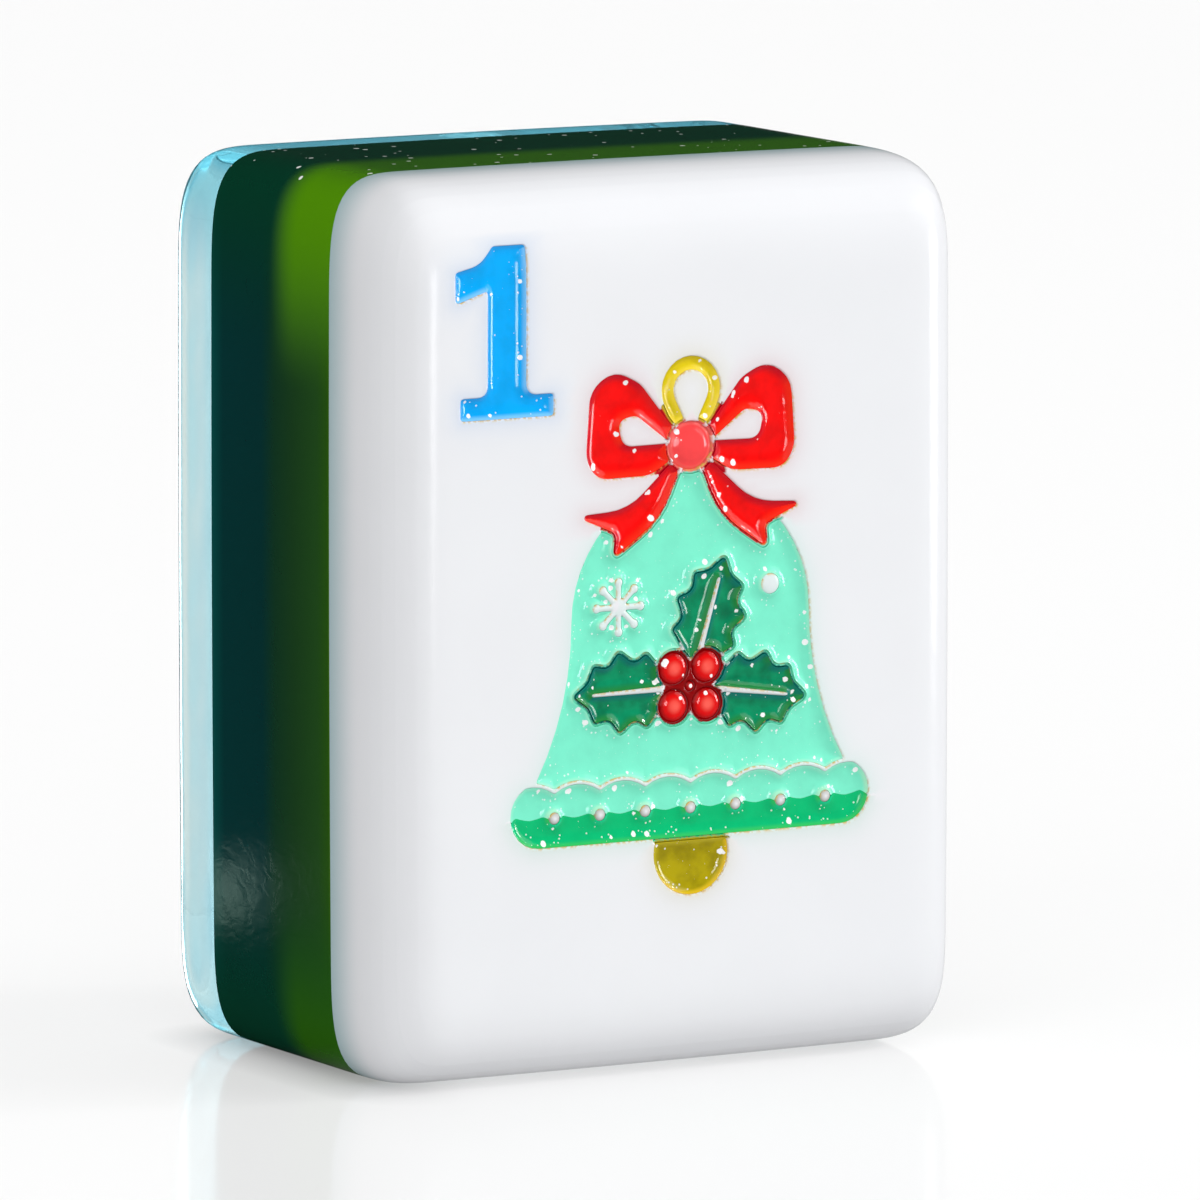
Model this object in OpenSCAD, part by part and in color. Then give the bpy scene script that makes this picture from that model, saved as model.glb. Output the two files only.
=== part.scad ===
// Mahjong tile: four bonded layers, with an engraved white face whose pockets hold enamel.
// The tile stands on its lower end, with X to the right along the face and the face looking along -Y.

/* [Tile] */
// Width of the tile
tile_w = 22; // [20:0.5:28]
// Height of the tile as it stands
tile_h = 30; // [28:0.5:38]
// Depth of the tile from its face to its back
tile_d = 16; // [14:0.5:20]
// Radius of the four corners, seen from the face
corner_r = 2.4; // [1.6:0.1:3.2]
// Rounding of the white layer's front edge, at most the corner radius
front_r = 2.3; // [0.8:0.1:3.2]
// Rounding of the clear layer's back edge, at most the corner radius
back_r = 1.8; // [0.8:0.1:3.2]

/* [Layers] */
// Thickness of the clear back layer
clear_t = 3.6; // [3.3:0.1:6]
// Thickness of the dark green layer
dark_t = 4.4; // [2:0.1:7]
// Thickness of the white front layer
white_t = 4.1; // [3.3:0.1:6]

/* [Engraving] */
// Depth of the engraved pockets
pocket_depth = 0.6; // [0.3:0.05:1]
// How far the enamel lies below the face
fill_sink = 0.1; // [0.05:0.01:0.2]
// Gap between the enamel and the wall of its pocket
fill_gap = 0.02; // [0.01:0.01:0.04]
// Width of the white ridges between neighbouring pockets
ridge_w = 0.12; // [0.08:0.01:0.2]
// Radius that the engraving tool leaves in tight corners
cutter_r = 0.08; // [0.06:0.01:0.12]

/* [Numeral] */
// Distance from the tile's left side to the numeral
numeral_left = 2.5; // [2.3:0.1:3]
// Distance from the tile's top to the numeral
numeral_top = 2.2; // [2:0.1:3]
// Width of the numeral
numeral_w = 3.6; // [3:0.1:4]
// Height of the numeral
numeral_h = 5.6; // [4.5:0.1:6.5]
// Width of the numeral's stem
stem_w = 1.4; // [0.9:0.1:1.6]
// Height of the numeral's foot
foot_h = 0.7; // [0.5:0.05:1]
// Height of the numeral's flag where it ends
flag_h = 1; // [0.7:0.05:1.2]

/* [Bell] */
// Distance of the bell to the right of the face's middle
bell_right = 0.24; // [0:0.02:0.6]
// Distance of the bell's rim below the face's middle
bell_drop = 7; // [6:0.1:8]
// Radius of the bell's shoulder
shoulder_r = 4.45; // [4:0.05:5]
// Height of the shoulder's centre above the bottom of the rim
shoulder_up = 7.3; // [6.8:0.1:8]
// How far the mouth flares beyond the shoulder on each side
flare_out = 1.3; // [0.8:0.05:1.8]
// Height over which the mouth flares
flare_h = 5.1; // [4:0.1:5.3]
// Radius of the bell's crown
crown_r = 0.9; // [0.6:0.05:1.1]
// Radius of the clapper
clapper_r = 1.38; // [1:0.02:1.8]
// Distance of the clapper's centre below the rim
clapper_drop = 0.55; // [0.2:0.05:0.9]

/* [Rim] */
// Width of the rim
rim_w = 13.46; // [12:0.02:15]
// Height of the rim and its trim together
rim_h = 2.1; // [1.8:0.05:2.4]
// Height of the emerald part at its lowest points
emerald_h = 0.85; // [0.6:0.05:1.1]
// Height of the waves on top of the emerald part
wave_h = 0.18; // [0.08:0.02:0.3]
// Height of the scalloped line at its lowest points
scallop_up = 1.72; // [1.5:0.02:1.8]
// Height of one scallop
scallop_h = 0.28; // [0.15:0.01:0.4]
// Width of one scallop and of one wave
scallop_w = 1.7; // [1.2:0.05:2.2]
// Radius of the small beads on the rim
bead_r = 0.2; // [0.12:0.01:0.26]

/* [Bow] */
// Distance of the knot above the bell's shoulder
knot_up = 1.15; // [0.9:0.05:1.5]
// Radius of the knot
knot_r = 0.8; // [0.6:0.02:1]
// Reach of a loop to the side of the knot
loop_w = 3.8; // [3.2:0.05:4.2]
// Reach of a loop above the knot
loop_up = 2.3; // [2:0.05:2.6]
// Reach of a loop below the knot
loop_drop = 0.82; // [0.7:0.02:1]
// Rounding of a loop's outer corners
loop_round = 0.95; // [0.6:0.05:0.98]
// Reach of a tail to the side of the knot
tail_w = 4.25; // [3.6:0.05:4.8]
// Reach of a tail below the knot
tail_drop = 3.5; // [3:0.05:4]
// Rounding inside the notch at a tail's end
notch_r = 0.3; // [0.25:0.05:0.4]
// Radius of the hanger ring
ring_r = 1.09; // [0.9:0.02:1.3]
// Thickness of the hanger ring
ring_t = 0.44; // [0.3:0.02:0.55]
// Distance of the ring's centre above the knot
ring_up = 1.84; // [1.6:0.02:2.2]
// Distance below the ring's centre at which its two sides would meet
ring_point = 2.44; // [2.2:0.02:3]

/* [Holly] */
// Distance of the berries below the bell's shoulder
sprig_drop = 2.35; // [2:0.05:2.7]
// Radius of a berry
berry_r = 0.54; // [0.4:0.02:0.56]
// Clearance between the tip of a side leaf and the bell's side
leaf_clear = 0.36; // [0.2:0.02:0.6]
// Length of a leaf
leaf_l = 3.65; // [3.2:0.05:3.8]
// Width of a leaf
leaf_w = 2.6; // [2.2:0.05:2.8]
// Rounding between a leaf's spines
spine_round = 0.4; // [0.3:0.02:0.45]
// Width of a leaf's vein
vein_w = 0.2; // [0.12:0.02:0.26]
// Direction of the top leaf, in degrees from level
top_leaf_turn = 73; // [65:1:95]
// Direction of the left leaf, in degrees from level
left_leaf_turn = 181; // [172:1:192]
// Direction of the right leaf, in degrees from level
right_leaf_turn = -8; // [-15:1:8]

/* [Snow] */
// Distance of the snowflake to the left of the bell's middle
flake_left = 2.7; // [2.5:0.05:2.9]
// Distance of the snowflake above the bell's shoulder
flake_up = 0.43; // [0.3:0.02:0.8]
// Length of a snowflake's arm
arm_l = 0.82; // [0.6:0.02:0.9]
// Width of a snowflake's arm
arm_w = 0.2; // [0.14:0.02:0.26]
// Radius at the end of a snowflake's arm
arm_end_r = 0.15; // [0.14:0.01:0.18]
// Distance of the snow dot to the right of the bell's middle
dot_right = 3; // [2.8:0.05:3.2]
// Distance of the snow dot above the bell's shoulder
dot_up = 0.85; // [0.6:0.05:1]
// Radius of the snow dot
dot_r = 0.34; // [0.2:0.02:0.4]

/* [Hidden] */
$fn = 48;

// The bright green layer fills what the other three leave of the tile's depth
bright_t = tile_d - clear_t - dark_t - white_t;

// The layers are stacked lying down, face up, and the stack is then stood on its end
back_level = -tile_d / 2;
dark_level = back_level + clear_t;
bright_level = dark_level + dark_t;
white_level = bright_level + bright_t;
face_level = tile_d / 2;
pocket_level = face_level - pocket_depth;
fill_t = pocket_depth - fill_sink;

// Places on the face, from the middle of the tile's lower end
rim_level = tile_h / 2 - bell_drop;
knot_level = shoulder_up + shoulder_r + knot_up;
sprig_level = shoulder_up - sprig_drop;
numeral_x = numeral_left - tile_w / 2;
numeral_y = tile_h - numeral_top - numeral_h;

// A pocket keeps this far from the enamel of its neighbour
keep_off = ridge_w + 2 * fill_gap;
// Largest distance between a curve and the straight pieces that it is drawn with
chord_error = 0.01;

// Radius of an arc from its width and its height
function bow_radius(half_width, height) = (half_width * half_width + height * height) / (2 * height);

flare_r = bow_radius(flare_h, flare_out);
scallop_r = bow_radius(scallop_w / 2, scallop_h);
wave_r = bow_radius(scallop_w / 2, wave_h);
scallop_count = 2 * ceil(rim_w / 2 / scallop_w + 0.5);
sprig_half_w = shoulder_r + flare_r - sqrt(flare_r * flare_r - sprig_drop * sprig_drop);
leaf_start = sprig_half_w - leaf_clear - leaf_l;
berry_pitch = 2 * berry_r + keep_off;
berry_middle_r = berry_pitch / sqrt(2) - berry_r - keep_off;
bead_count = 7;
arm_count = 8;

// Angle of one straight piece of an arc
function arc_step(r) = 2 * acos(1 - min(0.3, chord_error / r));

// Points of an arc from one angle to another
function arc(centre, r, from, to) =
    let (n = max(2, ceil(abs(to - from) / arc_step(r))))
    [for (i = [0:n]) centre + r * [cos(from + (to - from) * i / n), sin(from + (to - from) * i / n)]];

// Signed angle from one direction to the next
function turn(a, b) = atan2(a.x * b.y - a.y * b.x, a * b);

// Rounded corner at b between a and c: outward corners grow by g, inward ones shrink by g.
// The rounding takes up at most half of each straight side next to it.
function corner(a, b, c, r, g) =
    let (
        d = (b - a) / norm(b - a),
        bend = turn(d, c - b),
        side = sign(bend),
        reach = min(r * tan(abs(bend) / 2), norm(b - a) / 2, norm(c - b) / 2),
        round_r = reach / tan(abs(bend) / 2),
        centre = b - d * reach + side * round_r * [-d.y, d.x],
        from = atan2(-side * d.x, side * d.y)
    )
    arc(centre, round_r + side * g, from, from + bend);

function place(p) = [p.x, p.y];

// Outline through corners [x, y, radius] in counter-clockwise order, grown by g
function rounded(p, g) =
    let (n = len(p))
    [for (i = [0:n - 1])
        each corner(place(p[(i + n - 1) % n]), place(p[i]), place(p[(i + 1) % n]), p[i].z, g)];

// Stands the stack on its end
module stand() {
    rotate([90, 0, 0])
        children();
}

module at_rim() {
    translate([bell_right, rim_level])
        children();
}

module at_shoulder() {
    at_rim()
        translate([0, shoulder_up])
            children();
}

module at_knot() {
    at_rim()
        translate([0, knot_level])
            children();
}

module at_sprig() {
    at_rim()
        translate([0, sprig_level])
            children();
}

// Section of a layer's border, with its outer upper edge rounded
module border_section(t, r) {
    difference() {
        square([corner_r, t]);
        if (r > 0)
            translate([corner_r - r, t - r])
                difference() {
                    square(2 * r);
                    circle(r);
                }
    }
}

// One layer, lying with its lower face at level 0: a core, four borders and four round corners
module layer(t, r) {
    half_w = tile_w / 2 - corner_r;
    half_h = tile_h / 2 - corner_r;
    edge_r = min(r, corner_r);
    translate([0, tile_h / 2, 0]) {
        translate([-half_w, -half_h, 0])
            cube([2 * half_w, 2 * half_h, t]);
        for (flip = [0, 1]) {
            mirror([flip, 0, 0])
                translate([half_w, half_h, 0])
                    rotate([90, 0, 0])
                        linear_extrude(2 * half_h)
                            border_section(t, edge_r);
            mirror([0, flip, 0])
                translate([-half_w, half_h, 0])
                    rotate([90, 0, 90])
                        linear_extrude(2 * half_w)
                            border_section(t, edge_r);
            for (tip = [0, 1])
                mirror([flip, 0, 0])
                    mirror([0, tip, 0])
                        translate([half_w, half_h, 0])
                            rotate_extrude(angle = 90)
                                border_section(t, edge_r);
        }
    }
}

// Enamel in its pocket, from the pocket's floor to just below the face
module enamel() {
    stand()
        translate([0, 0, pocket_level])
            linear_extrude(fill_t)
                children();
}

// Slab-serif numeral one, from the lower left corner of its box
module numeral_area(g) {
    stem_x = 0.33 * numeral_w;
    foot_x = 0.05 * numeral_w;
    flag_y = 0.86 * numeral_h;
    translate([numeral_x, numeral_y])
        polygon(rounded([
            [foot_x, 0, cutter_r],
            [numeral_w, 0, cutter_r],
            [numeral_w, foot_h, cutter_r],
            [stem_x + stem_w, foot_h, foot_h / 2],
            [stem_x + stem_w, numeral_h, cutter_r],
            [0.39 * numeral_w, numeral_h, cutter_r],
            [0.25 * numeral_w, flag_y + 0.2 * flag_h, flag_h],
            [0, flag_y, cutter_r],
            [0, flag_y - flag_h, cutter_r],
            [stem_x, flag_y - 0.6 * flag_h, cutter_r],
            [stem_x, foot_h, foot_h / 2],
            [foot_x, foot_h, cutter_r]
        ], g));
}

module knot_area(g) {
    at_knot()
        circle(knot_r + g);
}

// Outside of a bow loop, without its hole
module loop_shape(flip, g) {
    at_knot()
        mirror([flip, 0])
            polygon(rounded([
                [-0.1 * loop_w, 0.1 * loop_up, cutter_r],
                [-0.5 * loop_w, 0.92 * loop_up, loop_round],
                [-0.76 * loop_w, 1.14 * loop_up, loop_round],
                [-0.99 * loop_w, 0.86 * loop_up, loop_round],
                [-1.03 * loop_w, -0.3 * loop_drop, loop_round],
                [-0.92 * loop_w, -1.12 * loop_drop, loop_round],
                [-0.4 * loop_w, -1.08 * loop_drop, loop_round],
                [-0.08 * loop_w, -0.18 * loop_drop, cutter_r]
            ], g));
}

// White island inside a bow loop
module loop_hole(flip, g) {
    at_knot()
        mirror([flip, 0])
            polygon(rounded([
                [-0.2 * loop_w, 0.05 * loop_up, cutter_r],
                [-0.54 * loop_w, 0.48 * loop_up, 0.37 * loop_round],
                [-0.72 * loop_w, 0.42 * loop_up, 0.32 * loop_round],
                [-0.67 * loop_w, 0.04 * loop_up, 0.42 * loop_round]
            ], g));
}

module loop_area(flip, g) {
    difference() {
        loop_shape(flip, g);
        loop_hole(flip, fill_gap - g);
        knot_area(keep_off - g);
    }
}

// Ribbon tail that hangs from the knot and ends in a notch
module tail_shape(flip, g) {
    at_knot()
        mirror([flip, 0])
            polygon(rounded([
                [-0.05 * tail_w, -0.02 * tail_drop, cutter_r],
                [-0.55 * tail_w, -0.57 * tail_drop, 0.5 * tail_w],
                [-tail_w, -0.6 * tail_drop, cutter_r],
                [-0.65 * tail_w, -0.78 * tail_drop, notch_r],
                [-0.67 * tail_w, -tail_drop, cutter_r],
                [-0.27 * tail_w, -0.67 * tail_drop, 0.7 * tail_w],
                [-0.07 * tail_w, -0.11 * tail_drop, cutter_r]
            ], g));
}

// Everything above a tail, where the bell has no enamel
module above_tail(flip) {
    outer_x = -2 * tail_w;
    at_knot()
        mirror([flip, 0])
            polygon([
                [0, 0],
                [-0.55 * tail_w, -0.57 * tail_drop],
                [-tail_w, -0.6 * tail_drop],
                [outer_x, -0.6 * tail_drop],
                [outer_x, tail_drop],
                [0, tail_drop]
            ]);
}

module tail_area(flip, g) {
    difference() {
        tail_shape(flip, g);
        loop_shape(flip, keep_off - g);
        knot_area(keep_off - g);
    }
}

// Circle with two sides that run together to a point below it
module drop_shape(r) {
    point = ring_point * r / ring_r;
    spread = asin(r / point);
    polygon(concat(arc([0, 0], r, -spread, 180 + spread), [[0, -point]]));
}

// Hanger ring, which ends at the knot
module ring_area(g) {
    difference() {
        at_knot()
            translate([0, ring_up])
                difference() {
                    drop_shape(ring_r + g);
                    drop_shape(ring_r - ring_t + fill_gap - g);
                }
        for (flip = [0, 1])
            loop_shape(flip, keep_off - g);
        knot_area(keep_off - g);
        at_knot()
            translate([-ring_r, -ring_point])
                square([2 * ring_r, ring_point]);
    }
}

// Bell from its crown down to its flared mouth, which ends behind the rim
module bell_shape(g) {
    side_x = shoulder_r + flare_r;
    sweep = asin(flare_h / flare_r);
    mouth_x = shoulder_r + flare_out + g;
    mouth_y = rim_h / 2 - shoulder_up;
    at_shoulder() {
        polygon(concat(
            arc([0, 0], shoulder_r + g, 0, 180),
            arc([-side_x, 0], flare_r - g, 0, -sweep),
            [[-mouth_x, mouth_y], [mouth_x, mouth_y]],
            arc([side_x, 0], flare_r - g, 180 + sweep, 180)
        ));
        translate([0, shoulder_r - crown_r / 2])
            circle(crown_r + g);
    }
}

// Everything below a row of arcs that stand side by side on a level line
module below_arcs(level, height, r, g) {
    half = asin(scallop_w / 2 / (r + g));
    span = scallop_count * scallop_w / 2;
    polygon(concat(
        [for (i = [0:scallop_count - 1])
            each arc([(i + 0.5) * scallop_w - span, level + height - r], r + g, 90 + half, 90 - half)],
        [[span, -rim_h], [-span, -rim_h]]
    ));
}

// Rim and trim together: a bar with round ends, cut off by the scalloped line
module rim_shape(g) {
    end_r = rim_h / 2;
    end_x = rim_w / 2 - end_r;
    at_rim()
        intersection() {
            polygon(concat(
                arc([end_x, end_r], end_r + g, -90, 90),
                arc([-end_x, end_r], end_r + g, 90, 270)
            ));
            below_arcs(scallop_up, scallop_h, scallop_r, g);
        }
}

module beads(g) {
    at_rim()
        for (i = [0:bead_count - 1])
            translate([(i - (bead_count - 1) / 2) * scallop_w, emerald_h + wave_h / 2])
                circle(bead_r + g);
}

module emerald_below(g) {
    at_rim()
        below_arcs(emerald_h, wave_h, wave_r, g);
}

module rim_pocket_area(g) {
    difference() {
        rim_shape(g);
        beads(fill_gap - g);
    }
}

module clapper_area(g) {
    difference() {
        at_rim()
            translate([0, -clapper_drop])
                circle(clapper_r + g);
        rim_shape(keep_off - g);
    }
}

// Half of a leaf's edge as [place along the leaf, distance from its middle, rounding].
// The root of the leaf reaches back to the middle of the berries.
leaf_edge = [
    [-leaf_start, 0.25 * leaf_w / 2, cutter_r],
    [0, 0.25 * leaf_w / 2, spine_round],
    [0.12 * leaf_l, 0.44 * leaf_w / 2, spine_round],
    [0.26 * leaf_l, 0.9 * leaf_w / 2, cutter_r],
    [0.38 * leaf_l, 0.66 * leaf_w / 2, spine_round],
    [0.54 * leaf_l, leaf_w / 2, cutter_r],
    [0.64 * leaf_l, 0.6 * leaf_w / 2, spine_round],
    [0.79 * leaf_l, 0.7 * leaf_w / 2, cutter_r],
    [0.85 * leaf_l, 0.3 * leaf_w / 2, spine_round]
];

module along_leaf(leaf_turn) {
    at_sprig()
        rotate(leaf_turn)
            translate([leaf_start, 0])
                children();
}

module leaf_shape(leaf_turn, g) {
    last = len(leaf_edge) - 1;
    along_leaf(leaf_turn)
        polygon(rounded(concat(
            [for (p = leaf_edge) [p.x, -p.y, p.z]],
            [[leaf_l, 0, cutter_r]],
            [for (i = [last:-1:0]) leaf_edge[i]]
        ), g));
}

// White vein along the middle of a leaf
module vein(leaf_turn, g) {
    along_leaf(leaf_turn)
        polygon(rounded([
            [0, -vein_w / 2, cutter_r / 2],
            [0.82 * leaf_l, -vein_w / 4, cutter_r / 2],
            [0.82 * leaf_l, vein_w / 4, cutter_r / 2],
            [0, vein_w / 2, cutter_r / 2]
        ], g));
}

module berry_area(g) {
    at_sprig() {
        for (x = [-1, 1])
            for (y = [-1, 1])
                translate([x, y] * berry_pitch / 2)
                    circle(berry_r + g);
        circle(berry_middle_r + g);
    }
}

// Berries together with the space between them
module berry_ground(g) {
    berry_area(g);
    at_sprig()
        translate([-berry_pitch / 2, -berry_pitch / 2])
            square(berry_pitch);
}

module leaf_area(leaf_turn, g) {
    difference() {
        leaf_shape(leaf_turn, g);
        vein(leaf_turn, fill_gap - g);
        berry_ground(keep_off - g);
        if (leaf_turn != top_leaf_turn)
            leaf_shape(top_leaf_turn, keep_off - g);
    }
}

// White snowflake and snow dot
module snow(g) {
    at_shoulder() {
        translate([-flake_left, flake_up])
            for (i = [0:arm_count - 1])
                rotate(i * 360 / arm_count) {
                    translate([0, -arm_w / 2 - g])
                        square([arm_l, arm_w + 2 * g]);
                    translate([arm_l, 0])
                        circle(arm_end_r + g);
                }
        translate([dot_right, dot_up])
            circle(dot_r + g);
    }
}

module bell_body_area(g) {
    difference() {
        bell_shape(g);
        rim_shape(keep_off - g);
        knot_area(keep_off - g);
        for (flip = [0, 1]) {
            loop_shape(flip, keep_off - g);
            tail_shape(flip, keep_off - g);
            above_tail(flip);
        }
        for (leaf_turn = [top_leaf_turn, left_leaf_turn, right_leaf_turn])
            leaf_shape(leaf_turn, keep_off - g);
        berry_ground(keep_off - g);
        snow(fill_gap - g);
    }
}

module clear_back() {
    color([0.74, 0.87, 0.89, 0.6])
        stand()
            translate([0, 0, dark_level])
                mirror([0, 0, 1])
                    layer(clear_t, back_r);
}

module dark_green_layer() {
    color([0.01, 0.2, 0.17])
        stand()
            translate([0, 0, dark_level])
                layer(dark_t, 0);
}

module bright_green_layer() {
    color([0.13, 0.3, 0.06])
        stand()
            translate([0, 0, bright_level])
                layer(bright_t, 0);
}

module white_face() {
    color([0.94, 0.94, 0.95])
        stand()
            difference() {
                translate([0, 0, white_level])
                    layer(white_t, front_r);
                translate([0, 0, pocket_level])
                    linear_extrude(2 * pocket_depth) {
                        numeral_area(fill_gap);
                        ring_area(fill_gap);
                        for (flip = [0, 1]) {
                            loop_area(flip, fill_gap);
                            tail_area(flip, fill_gap);
                        }
                        knot_area(fill_gap);
                        bell_body_area(fill_gap);
                        rim_pocket_area(fill_gap);
                        clapper_area(fill_gap);
                        for (leaf_turn = [top_leaf_turn, left_leaf_turn, right_leaf_turn])
                            leaf_area(leaf_turn, fill_gap);
                        berry_area(fill_gap);
                    }
            }
}

module numeral_fill() {
    color([0, 0.59, 0.9])
        enamel()
            numeral_area(0);
}

module hanger_ring_fill() {
    color([0.84, 0.78, 0.04])
        enamel()
            ring_area(0);
}

module bow_left_loop_fill() {
    color([0.95, 0.02, 0.03])
        enamel()
            loop_area(0, 0);
}

module bow_right_loop_fill() {
    color([0.95, 0.02, 0.03])
        enamel()
            loop_area(1, 0);
}

module bow_left_tail_fill() {
    color([0.95, 0.02, 0.03])
        enamel()
            tail_area(0, 0);
}

module bow_right_tail_fill() {
    color([0.95, 0.02, 0.03])
        enamel()
            tail_area(1, 0);
}

module bow_knot_fill() {
    color([0.92, 0.28, 0.31])
        enamel()
            knot_area(0);
}

module bell_body_fill() {
    color([0.47, 0.92, 0.77])
        enamel()
            bell_body_area(0);
}

module bell_trim_fill() {
    color([0.4, 0.89, 0.73])
        enamel()
            difference() {
                rim_pocket_area(0);
                emerald_below(fill_gap);
            }
}

module bell_rim_fill() {
    color([0, 0.8, 0.51])
        enamel()
            intersection() {
                rim_pocket_area(0);
                emerald_below(0);
            }
}

module clapper_fill() {
    color([0.65, 0.57, 0.04])
        enamel()
            clapper_area(0);
}

module holly_top_leaf_fill() {
    color([0, 0.49, 0.33])
        enamel()
            leaf_area(top_leaf_turn, 0);
}

module holly_left_leaf_fill() {
    color([0, 0.49, 0.33])
        enamel()
            leaf_area(left_leaf_turn, 0);
}

module holly_right_leaf_fill() {
    color([0, 0.49, 0.33])
        enamel()
            leaf_area(right_leaf_turn, 0);
}

module berry_fills() {
    color([0.86, 0.03, 0.05])
        enamel()
            berry_area(0);
}

clear_back();
dark_green_layer();
bright_green_layer();
white_face();
numeral_fill();
hanger_ring_fill();
bow_left_loop_fill();
bow_right_loop_fill();
bow_left_tail_fill();
bow_right_tail_fill();
bow_knot_fill();
bell_body_fill();
bell_trim_fill();
bell_rim_fill();
clapper_fill();
holly_top_leaf_fill();
holly_left_leaf_fill();
holly_right_leaf_fill();
berry_fills();
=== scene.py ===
# %% [markdown]
# # A mahjong tile
# The tile is a stack of four bonded plastic layers: a clear back, a dark green and a bright green
# middle, and a white face. Pictures are engraved in the face, and coloured enamel is poured into
# the engraving. The CAD model fixes every size, so this lesson reads sizes and outlines from it and
# adds what CAD leaves out: soft polished edges, rounded engraving, curved enamel and finishes.

# %% Load the fixed frame
import math

import bpy
import numpy as np
from mathutils import Matrix, Vector
from mathutils.geometry import delaunay_2d_cdt


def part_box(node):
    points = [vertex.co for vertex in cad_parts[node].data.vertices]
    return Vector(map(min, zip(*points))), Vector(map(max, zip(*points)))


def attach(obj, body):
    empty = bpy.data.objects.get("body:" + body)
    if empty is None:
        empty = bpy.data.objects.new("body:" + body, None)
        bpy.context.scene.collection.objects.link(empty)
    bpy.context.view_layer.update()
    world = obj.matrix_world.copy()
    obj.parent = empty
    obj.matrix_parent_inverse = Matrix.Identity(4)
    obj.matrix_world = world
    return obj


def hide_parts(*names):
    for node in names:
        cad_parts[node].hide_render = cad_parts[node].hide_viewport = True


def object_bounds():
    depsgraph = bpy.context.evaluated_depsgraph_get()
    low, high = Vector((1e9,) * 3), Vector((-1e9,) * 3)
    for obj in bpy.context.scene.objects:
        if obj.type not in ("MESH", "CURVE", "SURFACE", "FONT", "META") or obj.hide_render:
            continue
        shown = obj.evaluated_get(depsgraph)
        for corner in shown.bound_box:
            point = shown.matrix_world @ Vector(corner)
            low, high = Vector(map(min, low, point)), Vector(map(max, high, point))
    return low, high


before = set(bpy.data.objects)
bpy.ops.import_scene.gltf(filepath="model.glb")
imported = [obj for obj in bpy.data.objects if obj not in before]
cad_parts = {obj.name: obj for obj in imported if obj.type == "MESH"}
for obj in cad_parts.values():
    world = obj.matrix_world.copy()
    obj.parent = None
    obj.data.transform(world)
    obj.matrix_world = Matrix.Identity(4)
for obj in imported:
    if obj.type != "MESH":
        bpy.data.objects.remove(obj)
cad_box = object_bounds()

MM = 0.001
low, high = (np.array(corner) / MM for corner in cad_box)
half_w, half_d, half_h = (high - low) / 2
mid_z = low[2] + half_h
scene = bpy.context.scene
print("tile in mm:", np.round(high - low, 3))

# %% [markdown]
# ## Camera
# The photograph was taken from far away with a long lens, a little to the left and a little above.
# A camera can be aimed with a constraint, but a matrix built from three directions (right, up and
# back) is shorter and says exactly where the camera stands.

# %% Place the camera
yaw, pitch = math.radians(-29.128), math.radians(7.734)
distance, slide_right, slide_up = 420.667, 1.113, -0.127
lens, sensor, sight = 379.45, 36, 10
level = math.cos(pitch)
back = Vector((math.sin(yaw) * level, -math.cos(yaw) * level, math.sin(pitch)))
right = Vector((math.cos(yaw), math.sin(yaw), 0))
up = back.cross(right)
eye = Vector((0, 0, mid_z)) + back * distance + right * slide_right + up * slide_up

camera = bpy.data.objects.new("camera", bpy.data.cameras.new("camera"))
camera.data.lens, camera.data.sensor_width, camera.data.clip_end = lens, sensor, sight
turned = Matrix((right, up, back)).transposed().to_4x4()
camera.matrix_world = Matrix.Translation(eye * MM) @ turned
scene.collection.objects.link(camera)
scene.camera = camera
scene.view_settings.view_transform = "Standard"
print("camera at", [round(value, 1) for value in eye])

# %% [markdown]
# ## Small helpers for shader nodes
# A material is a graph. Writing every link on its own line hides the idea, so one function adds a
# node, and each of its inputs is either a plain value or another node's output. The nodes that come
# up again and again get a short helper each.

# %% Node helpers
def srgb(red, green, blue):
    """Linear colour of an 8-bit screen colour: each part is undone by the screen's power curve."""
    part = np.array((red, green, blue)) / 255
    linear = np.where(part <= 0.04045, part / 12.92, ((part + 0.055) / 1.055) ** 2.4)
    return (*(float(value) for value in linear), 1.0)


def connect(tree, made, inputs):
    """Sets or links a node's inputs by name or number."""
    for name, value in inputs.items():
        if isinstance(value, bpy.types.NodeSocket):
            tree.links.new(value, made.inputs[name])
        else:
            made.inputs[name].default_value = value


def add(tree, kind, inputs=None, **settings):
    """Adds a node, sets its properties, and sets or links its inputs."""
    made = tree.nodes.new(kind)
    for name, value in settings.items():
        setattr(made, name, value)
    connect(tree, made, inputs or {})
    return made


def math_node(tree, operation, first, second=0.0, clamp=False):
    """Result of one sum on two values."""
    made = add(tree, "ShaderNodeMath", {0: first, 1: second}, operation=operation, use_clamp=clamp)
    return made.outputs[0]


def blend_colours(tree, share, first, second, mode="MIX"):
    """Colour that goes from the first to the second as the share goes from 0 to 1."""
    parts = {0: share, 6: first, 7: second}
    return add(tree, "ShaderNodeMix", parts, data_type="RGBA", blend_type=mode).outputs[2]


def between(tree, share, first, second):
    """Value that goes from the first to the second as the share goes from 0 to 1."""
    return add(tree, "ShaderNodeMapRange", {0: share, 3: first, 4: second}).outputs[0]


def ease(tree, value, start, stop):
    """Share that rises smoothly from 0 at the start to 1 at the stop."""
    limits = {0: value, 1: start, 2: stop}
    smooth = "SMOOTHSTEP"
    return add(tree, "ShaderNodeMapRange", limits, interpolation_type=smooth, clamp=True).outputs[0]


def split(tree, vector):
    """The X, Y and Z parts of a vector."""
    return add(tree, "ShaderNodeSeparateXYZ", {0: vector}).outputs


def vector_node(tree, operation, first, second):
    """Result of one sum on two vectors."""
    return add(tree, "ShaderNodeVectorMath", {0: first, 1: second}, operation=operation).outputs[0]


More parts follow.
